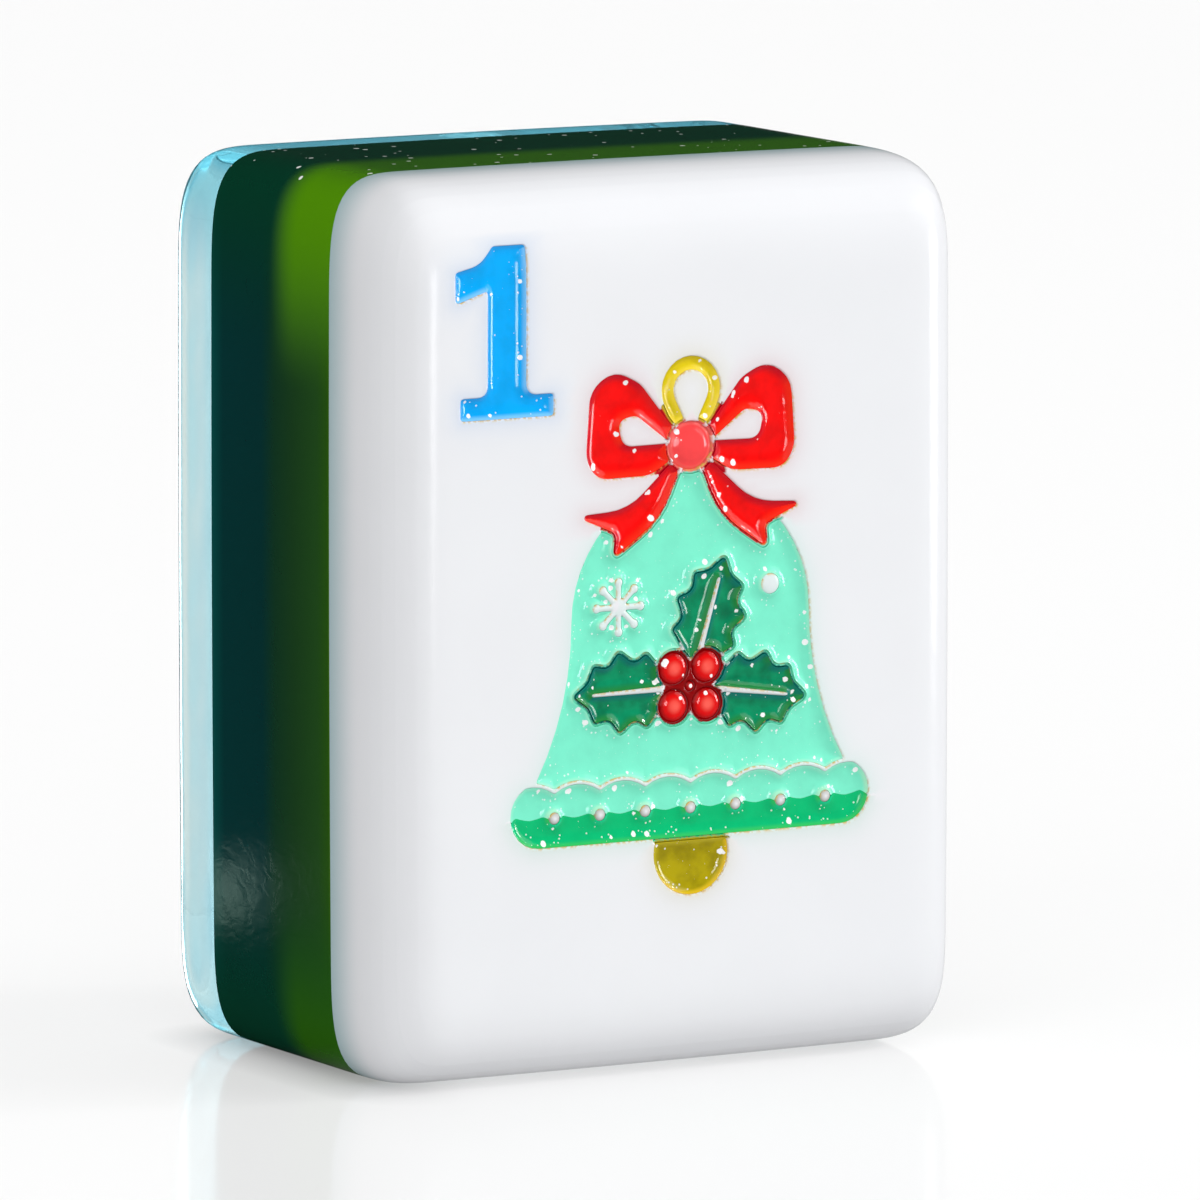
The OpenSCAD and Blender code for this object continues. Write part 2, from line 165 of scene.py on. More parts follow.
def noise(tree, position, scale, detail, distortion=0.0):
    """Smooth random value around one half; the scale counts its swells in a millimetre."""
    inputs = {"Vector": position, "Scale": scale, "Detail": detail, "Distortion": distortion}
    return add(tree, "ShaderNodeTexNoise", inputs).outputs[0]


def read_attribute(tree, name, output="Fac"):
    """What a mesh attribute says at the shaded place."""
    return add(tree, "ShaderNodeAttribute", attribute_name=name).outputs[output]


print("node helpers ready")

# %% Groups and materials
def new_group(name, inputs, outputs):
    """Empty node group with these sockets; returns its tree, its inputs and its output node."""
    tree = bpy.data.node_groups.new(name, "ShaderNodeTree")
    for label, kind in inputs.items():
        tree.interface.new_socket(label, in_out="INPUT", socket_type="NodeSocket" + kind)
    for label, kind in outputs.items():
        tree.interface.new_socket(label, in_out="OUTPUT", socket_type="NodeSocket" + kind)
    entry = tree.nodes.new("NodeGroupInput")
    return tree, entry.outputs, tree.nodes.new("NodeGroupOutput")


def place_group(tree, group, inputs):
    """Puts a node group into a material and returns its first output."""
    return add(tree, "ShaderNodeGroup", inputs, node_tree=group).outputs[0]


def bare_material(name):
    """Material as Blender makes it, and its tree."""
    material = bpy.data.materials.new(name)
    material.use_nodes = True
    return material, material.node_tree


def new_material(name):
    """Empty material; returns it, its tree, its shader and the object position in millimetres."""
    material, tree = bare_material(name)
    spot = add(tree, "ShaderNodeTexCoord").outputs["Object"]
    position = add(tree, "ShaderNodeVectorMath", {0: spot, "Scale": 1 / MM}, operation="SCALE")
    return material, tree, tree.nodes["Principled BSDF"], position.outputs[0]


print("group and material helpers ready")

# %% [markdown]
# ## Backdrop
# The photograph has a white background. A bright world would give one, but it would also flood the
# tile with light. So the world is white only where the camera or the clear plastic looks at it, and
# dimmer as a light and in reflections, and the tile keeps its shading. Reflections see a dark
# curtain behind the tile, which keeps the green sides deep.

# %% White world
world = bpy.data.worlds.new("studio")
world.use_nodes = True
scene.world = world
tree = world.node_tree


def seen_directly(tree):
    """1 for rays from the camera or through the clear plastic, and 0 for others."""
    path = add(tree, "ShaderNodeLightPath").outputs
    return math_node(tree, "MAXIMUM", path["Is Camera Ray"], path["Is Transmission Ray"])


def mirrored_from_behind(tree, backward, start, stop):
    """1 for reflected rays, not through the clear plastic, that meet the studio behind the tile."""
    path = add(tree, "ShaderNodeLightPath").outputs
    glossy, through = path["Is Glossy Ray"], path["Is Transmission Ray"]
    mirror = math_node(tree, "SUBTRACT", glossy, through, clamp=True)
    return math_node(tree, "MULTIPLY", mirror, ease(tree, backward, start, stop))


world_light, curtain, curtain_edge = 0.39, 0.012, (0.05, 0.3)
heading = add(tree, "ShaderNodeTexCoord").outputs["Generated"]
behind = mirrored_from_behind(tree, split(tree, heading)[1], *curtain_edge)
strength = between(tree, seen_directly(tree), world_light, 1.0)
strength = between(tree, behind, strength, curtain)
connect(tree, tree.nodes["Background"], {"Strength": strength, "Color": (1, 1, 1, 1)})
print("world light", world_light, "curtain", curtain)

# %% [markdown]
# ## Table
# The table is white and faintly glossy, with a pale shadow. A plain white floor would be greyed by
# every lamp that the tile hides, so this floor gives back part of its white by itself, and only the
# rest can be shaded. Little light gets in where the tile almost touches the table on its unlit
# side, so there an ambient occlusion node, which measures how closed in a place is, dims that white.

# %% Pale floor
floor_half = 3000
floor_shade, floor_own, floor_light, floor_mirror, floor_rough = 0.36, 0.72, 0.3, 0.22, 0.12
shelter_reach, shelter_dark, shelter_edge = 2.0, 0.55, (2.0, 8.5)
left_and_back, hidden_edge = (-0.87, 0.5, 0), (3.0, 10.0)


def flat_card(name, corners, material):
    """Object with one four-sided face through these corners in millimetres."""
    mesh = bpy.data.meshes.new(name)
    mesh.from_pydata([tuple(Vector(corner) * MM) for corner in corners], [], [(0, 1, 2, 3)])
    mesh.materials.append(material)
    card = bpy.data.objects.new(name, mesh)
    scene.collection.objects.link(card)
    return card


def grey(value):
    """Colour with three equal parts."""
    return (value, value, value, 1)


material, tree = bare_material("pale_table")
tree.nodes.remove(tree.nodes["Principled BSDF"])
ways = ((-1, -1), (1, -1), (1, 1), (-1, 1))
square = [(side * floor_half, end * floor_half, 0) for side, end in ways]
floor = flat_card("floor", square, material)
print("floor", 2 * floor_half, "mm wide")

# %% Finish of the floor
seen = seen_directly(tree)
spot = add(tree, "ShaderNodeTexCoord").outputs["Object"]
along = add(tree, "ShaderNodeVectorMath", {0: spot, 1: left_and_back}, operation="DOT_PRODUCT")
backward = math_node(tree, "DIVIDE", along.outputs["Value"], MM)
nearness = add(tree, "ShaderNodeAmbientOcclusion", {"Distance": shelter_reach * MM}, samples=4)
closed_in = math_node(tree, "SUBTRACT", 1.0, nearness.outputs["AO"])
unlit_side = math_node(tree, "MULTIPLY", ease(tree, backward, *shelter_edge), shelter_dark)
sheltered = math_node(tree, "MULTIPLY", closed_in, unlit_side)
own = between(tree, seen, floor_light, floor_own)
own = math_node(tree, "MULTIPLY", own, math_node(tree, "SUBTRACT", 1.0, sheltered))

matt = add(tree, "ShaderNodeBsdfDiffuse", {"Color": grey(floor_shade)}).outputs[0]
glow = add(tree, "ShaderNodeEmission", {"Strength": own}).outputs[0]
gloss = add(tree, "ShaderNodeBsdfGlossy", {"Roughness": floor_rough}).outputs[0]
dark = add(tree, "ShaderNodeBsdfDiffuse", {"Color": grey(curtain)}).outputs[0]
mirror = math_node(tree, "MULTIPLY", seen, floor_mirror)
behind = mirrored_from_behind(tree, backward, *hidden_edge)
whole = add(tree, "ShaderNodeAddShader", {0: matt, 1: glow}).outputs[0]
whole = add(tree, "ShaderNodeMixShader", {0: mirror, 1: whole, 2: gloss}).outputs[0]
whole = add(tree, "ShaderNodeMixShader", {0: behind, 1: whole, 2: dark}).outputs[0]
connect(tree, tree.nodes["Material Output"], {"Surface": whole})
print("floor finish:", len(tree.nodes), "nodes")

# %% [markdown]
# ## Lamps
# Soft light comes mostly from the right. Suns with a wide disc light the tile as large lamps far
# away would, without any sum for their distance. Two strips show only in reflections and put crisp
# highlights on the enamel. A white sky that only the floor mirrors keeps the floor's mirror image
# white, so only the tile shows in it. A small, faint card stands for the window that the photograph
# shows mirrored in the dark side.

# %% Soft lamps
def softbox(name, place, aim, wide, tall, brightness):
    """Rectangular lamp in millimetres; its power is brightness times pi times its area."""
    lamp = bpy.data.lights.new(name, "AREA")
    lamp.shape = "RECTANGLE"
    lamp.size, lamp.size_y = wide * MM, tall * MM
    lamp.energy = brightness * math.pi * lamp.size * lamp.size_y
    holder = bpy.data.objects.new(name, lamp)
    holder.location = Vector(place) * MM
    holder.rotation_mode = "QUATERNION"
    holder.rotation_quaternion = (Vector(aim) - Vector(place)).to_track_quat("-Z", "Y")
    holder.visible_camera = False
    scene.collection.objects.link(holder)
    return holder


def far_lamp(name, heading, share, spread):
    """Wide lamp so far away that it lights everything evenly; its share is that of a white surface
    facing it."""
    lamp = bpy.data.lights.new(name, "SUN")
    lamp.energy, lamp.angle = share * math.pi, math.radians(spread)
    holder = bpy.data.objects.new(name, lamp)
    holder.rotation_mode = "QUATERNION"
    holder.rotation_quaternion = Vector(heading).to_track_quat("-Z", "Y")
    scene.collection.objects.link(holder)
    return holder


far_lamp("key_lamp", heading=(-0.79, 0.5, -0.36), share=0.36, spread=36)
far_lamp("fill_lamp", heading=(0.6, 0.75, -0.28), share=0.48, spread=70)
far_lamp("top_lamp", heading=(0, 0.25, -0.97), share=0.14, spread=60)
softbox("corner_spot", place=(290, -130, 160), aim=(9, -7, 28), wide=34, tall=14, brightness=150)
face_middle = (0, -half_d, mid_z)
for strip, place in (("front_strip", (10, -160, 14)), ("right_strip", (105, -62, 16))):
    lamp = softbox(strip, place, face_middle, wide=26, tall=44, brightness=24)
    lamp.visible_diffuse = False
sky = far_lamp("table_sky", heading=(0, 0, -1), share=1.0, spread=178)
sky.visible_diffuse = False
sky.light_linking.receiver_collection = bpy.data.collections.new("floor_only")
sky.light_linking.receiver_collection.objects.link(floor)

# %% Small window mirrored in the dark side
window_middle, window_wide, window_tall = Vector((-20.6, 22.0, 2.0)), 1.3, 3.2
window_light, window_tint, window_fade = 4.8, srgb(218, 255, 238), (0.6, 0.1)
aim = Vector((0.486, -0.874, 0))
beside = Vector((aim.y, -aim.x, 0)) * window_wide / 2
upward = Vector((0, 0, window_tall / 2))
corners = [window_middle + side * beside + rise * upward for side, rise in ways]
material, tree = bare_material("window_light")
across = add(tree, "ShaderNodeTexCoord").outputs["Generated"]
centred = vector_node(tree, "SUBTRACT", across, (0.5, 0.5, 0.5))
off_middle = add(tree, "ShaderNodeVectorMath", {0: centred}, operation="LENGTH").outputs["Value"]
faded = math_node(tree, "MULTIPLY", ease(tree, off_middle, *window_fade), window_light)
glow = add(tree, "ShaderNodeEmission", {"Color": window_tint, "Strength": faded}).outputs[0]
connect(tree, tree.nodes["Material Output"], {"Surface": glow})
window = flat_card("window_card", corners, material)
window.visible_camera = window.visible_diffuse = False
window.visible_transmission = window.visible_shadow = False
turns_all, turns_mirrored, turns_through = 14, 10, 12
scene.cycles.max_bounces = turns_all
scene.cycles.glossy_bounces, scene.cycles.transmission_bounces = turns_mirrored, turns_through
print("window", window_wide, "by", window_tall, "mm; light turns", turns_all, "times at most")

# %% [markdown]
# ## The tile's skin
# A box with a bevel has edges that turn too suddenly: the polished tile starts to curve long before
# its edge. Here the rounding follows a curve whose parts, each raised to the fourth power, add up to
# one. Every section through the tile is then an inner rectangle with that curve carried around it,
# and a depth profile says how much of the rounding each section keeps.

# %% Path around the tile
round_x, round_z = 3.03, 4.75
round_front, round_back = 5.64, 2.74
corner_steps, side_steps = 28, 22


def quartic_arc(turn):
    """Places on a quarter of the curve at these turns: cosine and sine, both divided by the fourth
    root of the sum of their fourth powers."""
    size = (np.cos(turn) ** 4 + np.sin(turn) ** 4) ** -0.25
    return np.cos(turn) * size, np.sin(turn) * size


def tile_path():
    """Inner rectangle's points in order and, for each, the outward step to the full section."""
    across, upward = quartic_arc(np.linspace(0, math.pi / 2, corner_steps + 1))
    share = np.linspace(0, 1, side_steps + 1)[1:-1, None]
    signs = np.array([[1, 1], [-1, 1], [-1, -1], [1, -1]])
    centres = signs * [half_w - round_x, half_h - round_z]
    arcs = [(across, upward), (-upward, across), (-across, -upward), (upward, -across)]
    rest, step = [], []
    for quarter, arc in enumerate(arcs):
        arc = np.stack(arc, 1)
        run = centres[quarter] + share * (centres[(quarter + 1) % 4] - centres[quarter])
        rest += [np.repeat(centres[quarter : quarter + 1], len(arc), 0), run]
        step += [arc, np.repeat(arc[-1:], len(run), 0)]
    return np.concatenate(rest), np.concatenate(step) * [round_x, round_z]


path_rest, path_step = tile_path()
print("points around the tile:", len(path_rest))

# %% Sections of the tile
curved_rows, even_rows = 33, 9


def kept_rounding(depth):
    """Share of the rounding kept at a place along Y: the fourth root of 1 minus the fourth power of
    how far that place lies into the front or the back rounding."""
    into_front = (-depth - (half_d - round_front)) / round_front
    into_back = (depth - (half_d - round_back)) / round_back
    into = np.clip(np.maximum(into_front, into_back), 0, 1)
    return (1 - into**4) ** 0.25


def sections(depths, kept=None):
    """Rings of points, one for each depth: the inner rectangle plus the share kept of the outward
    step."""
    depths = np.asarray(depths, float)
    kept = kept_rounding(depths) if kept is None else np.asarray(kept, float)
    flat = path_rest[None] + kept[:, None, None] * path_step[None]
    level = np.broadcast_to(depths[:, None], flat.shape[:2])
    return np.stack([flat[..., 0], level, flat[..., 1] + mid_z], -1)


def depth_rows(start, stop):
    """Depths from back to front between two places, close together where the skin curves most."""
    into = quartic_arc(np.linspace(0, math.pi / 2, curved_rows))[1]
    front = -(half_d - round_front + round_front * into)
    behind = half_d - round_back + round_back * into
    rows = np.concatenate([front, behind, np.linspace(start, stop, even_rows)])
    rows = rows[(rows <= start) & (rows >= stop)]
    return np.unique(np.round(rows, 5))[::-1]


print("sections from back to front:", len(depth_rows(half_d, -half_d)))

# %% Meshes from rings
side_bow, crease = 0.054, math.radians(50)


def loft(rings, close_back=True, close_front=True):
    """Points and triangles of a skin through rings of points, with each end closed by a fan."""
    count, around = rings.shape[:2]
    near = np.arange(around)
    beyond = np.roll(near, -1)
    first = (np.arange(count - 1) * around)[:, None]
    a, b = first + near, first + beyond
    triangles = [np.stack([a, b, b + around], -1), np.stack([a, b + around, a + around], -1)]
    points = [rings.reshape(-1, 3)]
    total = count * around
    for wanted, ring, order in ((close_back, 0, (1, 0)), (close_front, count - 1, (0, 1))):
        if wanted:
            points.append(rings[ring].mean(0)[None])
            pair = (ring * around + near, ring * around + beyond)
            triangles.append(np.stack([pair[order[0]], pair[order[1]], np.full(around, total)], -1))
            total += 1
    return np.concatenate(points), np.concatenate([t.reshape(-1, 3) for t in triangles])


def bowed(points):
    """Lets the sides swell: away from the middle of a side, points move in by the square of how
    far."""
    across, upward = points[:, 0] / half_w, (points[:, 2] - mid_z) / half_h
    moved = points.copy()
    moved[:, 0] -= side_bow * across * upward**2
    moved[:, 2] -= side_bow * upward * across**2
    return moved


def make_piece(name, points, triangles, material, stands_for, facts=None):
    """Mesh object of these points in millimetres, riding on the tile in place of CAD nodes."""
    mesh = bpy.data.meshes.new(name)
    mesh.from_pydata((bowed(points) * MM).tolist(), [], triangles.tolist())
    mesh.polygons.foreach_set("use_smooth", np.ones(len(triangles), bool))
    mesh.set_sharp_from_angle(angle=crease)
    for fact, values in (facts or {}).items():
        kind, field = ("FLOAT_COLOR", "color") if values.ndim == 2 else ("FLOAT", "value")
        layer = mesh.attributes.new(fact, kind, "POINT")
        layer.data.foreach_set(field, values.astype(np.float32).ravel())
    mesh.materials.append(material)
    piece = bpy.data.objects.new(name, mesh)
    scene.collection.objects.link(piece)
    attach(piece, "root")
    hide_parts(*stands_for)
    print(name, len(points), "points", len(triangles), "triangles")
    return piece


print("sides swell by", side_bow, "mm")

# %% [markdown]
# ## Finishes that several materials share
# Fine flecks lie in the enamel and on the green plastic, and all the plastic has the faint ripple
# that polishing leaves. The two green layers run into each other: one ramp of colours goes through
# both, and painted light brightens their top and foot near the front. Each effect is built once as
# a node group and placed with its own values.

# %% Flecks
flecks, given, result = new_group(
    "fine_flecks",
    {"Position": "Vector", "Spacing": "Float", "Size": "Float", "Share": "Float"},
    {"Flecks": "Float"},
)
scaled = vector_node(flecks, "DIVIDE", given["Position"], given["Spacing"])
cells = add(flecks, "ShaderNodeTexVoronoi", {"Vector": scaled, "Scale": 1.0})
chance = add(flecks, "ShaderNodeSeparateColor", {0: cells.outputs["Color"]})
reach = math_node(flecks, "MULTIPLY", given["Size"], chance.outputs[1])
close = math_node(flecks, "LESS_THAN", cells.outputs["Distance"], reach)
chosen = math_node(flecks, "LESS_THAN", chance.outputs[0], given["Share"])
connect(flecks, result, {"Flecks": math_node(flecks, "MULTIPLY", close, chosen)})
print("flecks:", len(flecks.nodes), "nodes")

# %% Polish ripple
ripple, given, result = new_group(
    "polish_ripple",
    {"Position": "Vector", "Coarse": "Float", "Fine": "Float", "Streaks": "Float"},
    {"Height": "Float"},
)
streak_stretch = (1.6, 1.1, 2.2)
drawn = vector_node(ripple, "MULTIPLY", given["Position"], streak_stretch)
coarse = noise(ripple, given["Position"], scale=0.35, detail=1.0)
fine = noise(ripple, given["Position"], scale=2.6, detail=3.0)
streak = noise(ripple, drawn, scale=1.0, detail=3.0, distortion=0.6)
swell = math_node(ripple, "MULTIPLY", coarse, given["Coarse"])
grain = math_node(ripple, "MULTIPLY", fine, given["Fine"])
streaks = math_node(ripple, "MULTIPLY", streak, given["Streaks"])
height = math_node(ripple, "ADD", math_node(ripple, "ADD", swell, grain), streaks)
connect(ripple, result, {"Height": height})


def rippled(tree, position, coarse=0.01, fine=0.0002, streaks=0.0):
    """Normal that is bent by the ripple of polishing, with heights in millimetres."""
    inputs = {"Position": position, "Coarse": coarse, "Fine": fine, "Streaks": streaks}
    height = place_group(tree, ripple, inputs)
    bump = {"Height": height, "Distance": MM, "Strength": 1.0}
    return add(tree, "ShaderNodeBump", bump).outputs[0]


print("ripple:", len(ripple.nodes), "nodes")

# %% Green of the two middle layers
layer_green, given, result = new_group("layer_green", {"Position": "Vector"}, {"Colour": "Color"})
x, y, z = split(layer_green, given["Position"])
bright_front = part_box("bright_green_layer")[0].y / MM
dark_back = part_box("dark_green_layer")[1].y / MM
along = add(layer_green, "ShaderNodeMapRange", {0: y, 1: bright_front, 2: dark_back}).outputs[0]
ramp = add(layer_green, "ShaderNodeValToRGB", {0: along})
green_stops = [
    (0.0, srgb(70, 118, 10)),
    (0.012, srgb(42, 90, 16)),
    (0.1, srgb(36, 80, 30)),
    (0.3, srgb(28, 68, 32)),
    (0.46, srgb(19, 60, 38)),
    (0.57, srgb(5, 54, 53)),
    (0.9, srgb(4, 56, 56)),
    (1.0, srgb(4, 78, 74)),
]
while len(ramp.color_ramp.elements) < len(green_stops):
    ramp.color_ramp.elements.new(0.5)
for element, (place_along, colour) in zip(ramp.color_ramp.elements, green_stops):
    element.position, element.color = place_along, colour
print("stops of green:", len(green_stops))

# %% Painted light in the green
# Near the front, painted light brightens the foot, the top and the top-left corner; towards the top
# and bottom ends the green turns darker.
end_range, front_range, foot_range = (8.0, 14.5), (0.4, -1.6), (6.5, 0.8)
top_range, corner_range = (22.5, 28.6), (-8.0, -10.6)
end_green, foot_green = srgb(4, 62, 42), srgb(44, 102, 12)
top_green, corner_green = srgb(58, 116, 26), srgb(86, 152, 4)
from_middle = math_node(layer_green, "SUBTRACT", z, mid_z)
from_middle = math_node(layer_green, "ABSOLUTE", from_middle)
near_front = ease(layer_green, y, *front_range)
foot_lit = math_node(layer_green, "MULTIPLY", ease(layer_green, z, *foot_range), near_front)
top_lit = math_node(layer_green, "MULTIPLY", ease(layer_green, z, *top_range), near_front)
corner_lit = math_node(layer_green, "MULTIPLY", top_lit, ease(layer_green, x, *corner_range))
colour = ramp.outputs[0]
for share, glow in (
    (ease(layer_green, from_middle, *end_range), end_green),
    (foot_lit, foot_green),
    (top_lit, top_green),
    (corner_lit, corner_green),
):
    colour = blend_colours(layer_green, share, colour, glow)
connect(layer_green, result, {"Colour": colour})
print("node groups:", [group.name for group in bpy.data.node_groups])

# %% [markdown]
# ## Clear back layer
# Each layer is a loft of sections through the same skin. The clear layer is real glass-like plastic,
# so the camera sees the white studio through it, and its tint is stronger at its ends, where more
# plastic lies in the way. Light that is trapped in a corner would turn too often to be followed and
# leave a black smudge, so rays that have turned many times find a faint glow there instead.

# %% Clear plastic
material, tree, shader, position = new_material("clear_plastic")
x, y, z = split(tree, position)
pale, cool = srgb(230, 235, 228), srgb(200, 228, 232)
band_middle, band_range, band_tint = 6.0, (0.3, 1.6), srgb(146, 208, 224)
top_range, top_tint = (25.0, 28.8), srgb(92, 176, 198)
foot_range, foot_tint = (4.0, 0.5), srgb(156, 214, 226)
turn_range, trapped_tint, trapped_light = (4.0, 7.0), srgb(150, 205, 215), 0.3
tint = blend_colours(tree, noise(tree, position, scale=0.12, detail=1.0), pale, cool)
from_band = math_node(tree, "ABSOLUTE", math_node(tree, "SUBTRACT", y, band_middle))
tint = blend_colours(tree, ease(tree, from_band, *band_range), tint, band_tint)
tint = blend_colours(tree, ease(tree, z, *top_range), tint, top_tint)
tint = blend_colours(tree, ease(tree, z, *foot_range), tint, foot_tint)
turns = add(tree, "ShaderNodeLightPath").outputs["Ray Depth"]
trapped = blend_colours(tree, ease(tree, turns, *turn_range), (0, 0, 0, 1), trapped_tint)
connect(tree, shader, {
    "Base Color": tint,
    "Roughness": 0.02,
    "IOR": 1.49,
    "Transmission Weight": 1.0,
    "Emission Color": trapped,
    "Emission Strength": trapped_light,
    "Normal": rippled(tree, position, coarse=0.012, fine=0.0004),
})
clear_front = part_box("clear_back")[0].y / MM
points, triangles = loft(sections(depth_rows(half_d, clear_front)))
make_piece("clear_layer", points, triangles, material, ["clear_back"])

# %% [markdown]
# ## Two green layers
# The green plastic is deep and glossy, with some dust on top. The dark layer's back is hollowed by a
# hair: seen at a slant, the film of air between the layers mirrors light along the clear plastic,
# and the edge looks bright, while from behind the dark green still shows through.

# %% Green plastic
dust_place, dust_colour = (28.9, 29.3), srgb(252, 255, 252)


def green_plastic(name):
    """Deep glossy green plastic with white flecks of dust near the top."""
    material, tree, shader, position = new_material(name)
    colour = place_group(tree, layer_green, {"Position": position})
    scatter = {"Position": position, "Spacing": 0.45, "Size": 0.22, "Share": 0.4}
    upper = ease(tree, split(tree, position)[2], *dust_place)
    dust = math_node(tree, "MULTIPLY", place_group(tree, flecks, scatter), upper)
    connect(tree, shader, {
        "Base Color": blend_colours(tree, dust, colour, dust_colour),
        "Roughness": 0.16,
        "Specular IOR Level": 0.2,
        "Normal": rippled(tree, position, fine=0.0012, streaks=0.011),
    })
    return material


film, film_kept = 0.02, [0.97, 0.985]
rows = depth_rows(dark_back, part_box("dark_green_layer")[0].y / MM)
recess = sections([dark_back - film, dark_back - film / 2], film_kept)
dark_rings = np.concatenate([recess, sections(rows)])
bright_rings = sections(depth_rows(rows[-1], bright_front))
for shade, rings in (("dark", dark_rings), ("bright", bright_rings)):
    slot = shade + "_green_plastic"
    points, triangles = loft(rings)
    node = shade + "_green_layer"
    make_piece(shade + "_layer", points, triangles, green_plastic(slot), [node])

# %% [markdown]
# ## Outlines of the engraving
# The engraved shapes are already in the CAD model, so nothing is drawn twice: the border of a node's
# flat front gives its outline. The outline is divided into short, even stretches and smoothed a
# little, as a cutter would leave it. It is kept as an array of points and an array that names the
# point that follows each one, so that whole outlines are handled at once. The numeral reaches up to
# where the face starts to curve, so its pocket is taken from its fill, grown by the gap around it.

# %% Trace outlines
outline_spacing, outline_smoothing = 0.05, 2
flat_within, same_digits = 0.001, 4


def trace(node):
    """Points (x, z) along the border of a node's flat front, and the number of the point after each
    one. The front lies on the left of the direction of travel."""
    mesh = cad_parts[node].data
    mesh.calc_loop_triangles()
    corner = np.zeros(3 * len(mesh.vertices))
    mesh.vertices.foreach_get("co", corner)
    corner = corner.reshape(-1, 3) / MM
    triangle = np.zeros(3 * len(mesh.loop_triangles), int)
    mesh.loop_triangles.foreach_get("vertices", triangle)
    triangle = triangle.reshape(-1, 3)
    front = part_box(node)[0].y / MM
    flat = (np.abs(corner[triangle][..., 1] - front) < flat_within).all(1)
    place, same = np.unique(np.round(corner, same_digits), axis=0, return_inverse=True)
    triangle = same.reshape(-1)[triangle]
    edge = np.concatenate([triangle[:, [0, 1]], triangle[:, [1, 2]], triangle[:, [2, 0]]])
    flat = np.tile(flat, 3)
    spot, count = place[:, [0, 2]], len(place)
    turned_round = edge[~flat, 1] * count + edge[~flat, 0]
    edge = edge[flat & np.isin(edge[:, 0] * count + edge[:, 1], turned_round)]
    start, run = spot[edge[:, 0]], spot[edge[:, 1]] - spot[edge[:, 0]]
    parts = np.maximum(1, np.ceil(np.hypot(*run.T) / outline_spacing)).astype(int)
    first = np.cumsum(parts) - parts
    owner = np.repeat(np.arange(len(edge)), parts)
    step = np.arange(len(owner)) - first[owner]
    points = start[owner] + run[owner] * (step / parts[owner])[:, None]
    edge_from = np.zeros(count, int)
    edge_from[edge[:, 0]] = np.arange(len(edge))
    after = np.arange(len(owner)) + 1
    last = step == parts[owner] - 1
    after[last] = first[edge_from[edge[owner[last], 1]]]
    return points, after


print("outline points every", outline_spacing, "mm")

# %% Walk along outlines
def loop_numbers(after):
    """Loop that each point belongs to: the lowest point number, passed along in doubling steps."""
    lowest, jump = np.arange(len(after)), after
    for _ in range(int(np.log2(len(after))) + 2):
        lowest = np.minimum(lowest, lowest[jump])
        jump = jump[jump]
    return lowest


def before_of(after):
    """Number of the point before each one."""
    before = np.zeros(len(after), int)
    before[after] = np.arange(len(after))
    return before


def smoothed(points, after):
    """Outline with each point moved towards the middle of its neighbours, a few times."""
    before = before_of(after)
    for _ in range(outline_smoothing):
        points = (points[before] + 2 * points + points[after]) / 4
    return points


def right_normals(points, after):
    """Unit directions to the right of the direction of travel."""
    along = points[after] - points[before_of(after)]
    along /= np.maximum(np.hypot(*along.T), 1e-9)[:, None]
    return np.stack([along[:, 1], -along[:, 0]], 1)


def loop_sizes(points, after):
    """Signed area and length of the loop that each point belongs to."""
    loops, onward = loop_numbers(after), points[after]
    swept = (points[:, 0] * onward[:, 1] - points[:, 1] * onward[:, 0]) / 2
    area = np.bincount(loops, swept, len(points))
    length = np.bincount(loops, np.hypot(*(onward - points).T), len(points))
    return area[loops], length[loops]


print("outlines are smoothed", outline_smoothing, "times")

# %% Outline of the pockets
pocket, pocket_after = trace("white_face")
area, _ = loop_sizes(pocket, pocket_after)
smallest_loop, fill_gap = 0.02, 0.02
inner = (area < area.max() - 1e-6) & (np.abs(area) > smallest_loop)
renumber = np.cumsum(inner) - 1
pocket, pocket_after = pocket[inner], renumber[pocket_after[inner]]
numeral, numeral_after = trace("numeral_fill")
numeral = numeral + fill_gap * right_normals(numeral, numeral_after)
pocket_after = np.concatenate([pocket_after, before_of(numeral_after) + len(pocket)])
pocket = np.concatenate([pocket, numeral])
pocket = smoothed(pocket, pocket_after)
pocket_in = right_normals(pocket, pocket_after)
island_area, island_length = loop_sizes(pocket, pocket_after)
print("pocket outline points:", len(pocket), "loops:", len(np.unique(loop_numbers(pocket_after))))

# %% [markdown]
# ## Distances and nets
# How deep a lip or a fill lies depends on how far away the nearest pocket wall is. A distance to
# every stretch of every outline would be slow, so the face is taken one square millimetre at a time.
# The surfaces themselves are nets of triangles that keep the outlines as edges, which a plain grid
# could not do.

# %% Distances on the face
farthest = 1.5


